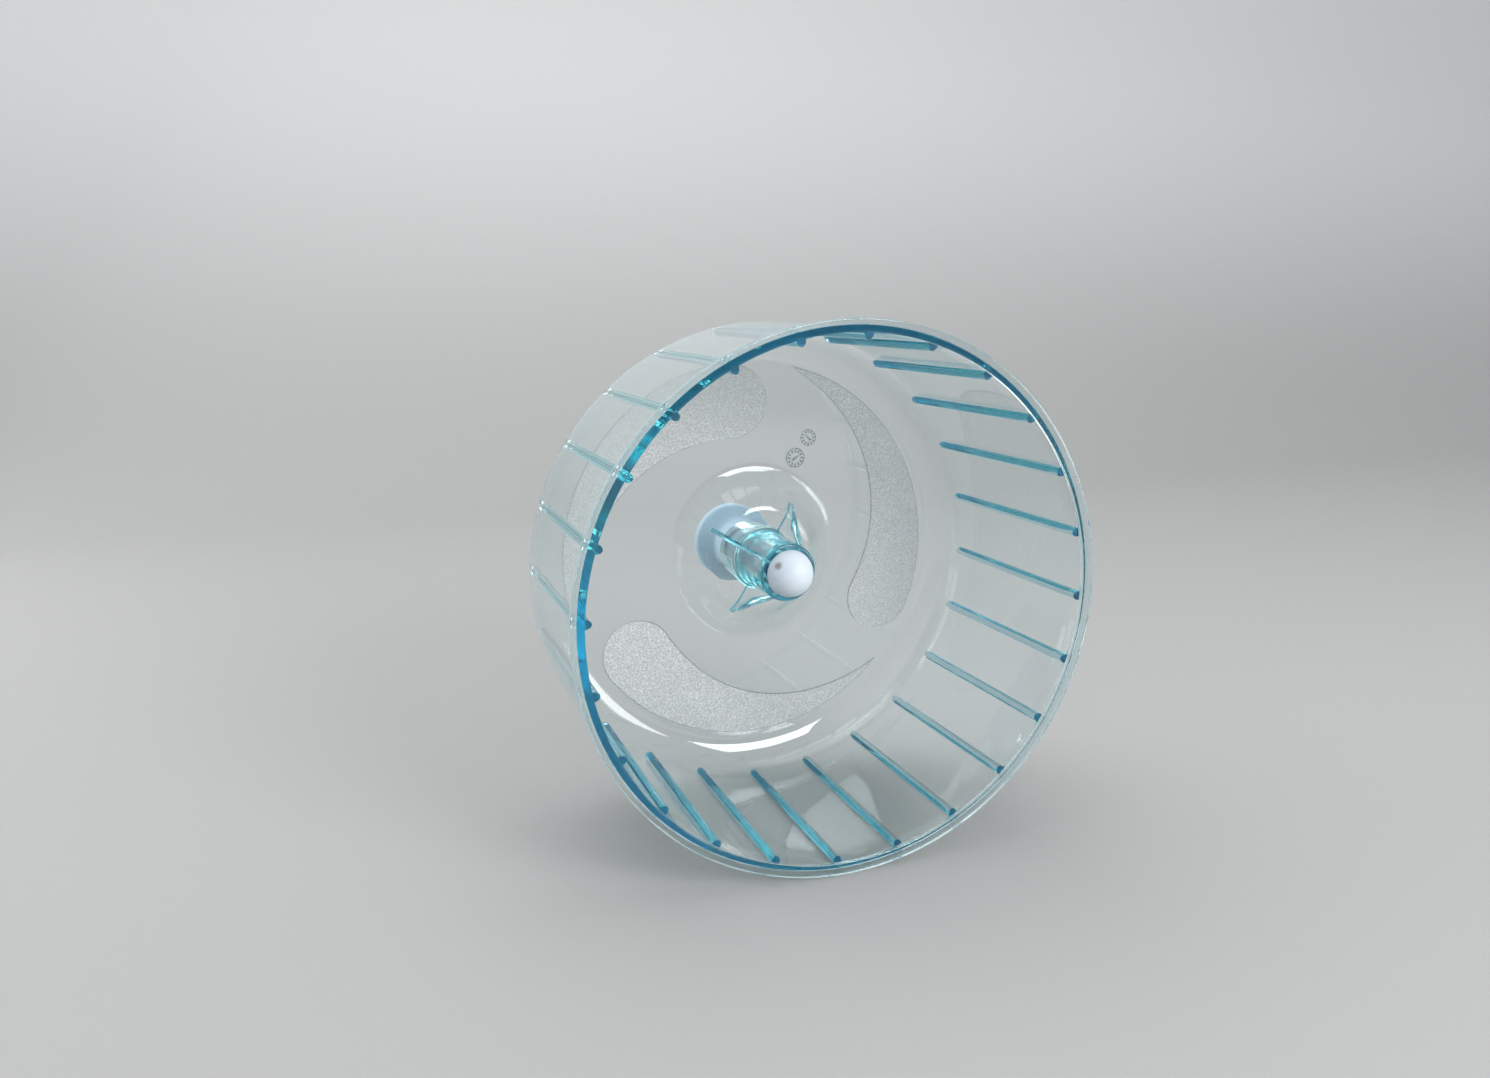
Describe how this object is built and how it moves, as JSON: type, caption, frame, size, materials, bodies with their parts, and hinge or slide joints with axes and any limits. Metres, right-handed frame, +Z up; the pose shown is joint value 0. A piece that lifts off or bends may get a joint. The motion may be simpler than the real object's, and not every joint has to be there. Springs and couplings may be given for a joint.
{
  "type": "hamster wheel",
  "caption": "Open-fronted clear plastic running wheel for a small pet: a deep ribbed drum that turns freely on a short white axle with a domed cap and a flat flanged foot.",
  "frame": {"origin": "centre of the axle's flat rear face, on the axis of rotation", "axes": "+Z up, +Y along the axis of rotation out of the rear face, so the drum's open side faces -Y"},
  "size_m": [0.14, 0.086, 0.14],
  "materials": {
    "clear_plastic": "polished clear plastic with a faint blue tint that deepens along edges and ribs",
    "white_plastic": "smooth satin white plastic"
  },
  "bodies": {
    "axle": {"axle_base": "white_plastic", "axle_pin": "white_plastic", "axle_cap": "white_plastic"},
    "wheel": {"wheel_drum": "clear_plastic"}
  },
  "joints": [
    {"name": "wheel_spin", "type": "hinge", "parent": "axle", "child": "wheel", "pos_m": [0, -0.03, 0], "axis": [0, 1, 0], "continuous": true}
  ]
}
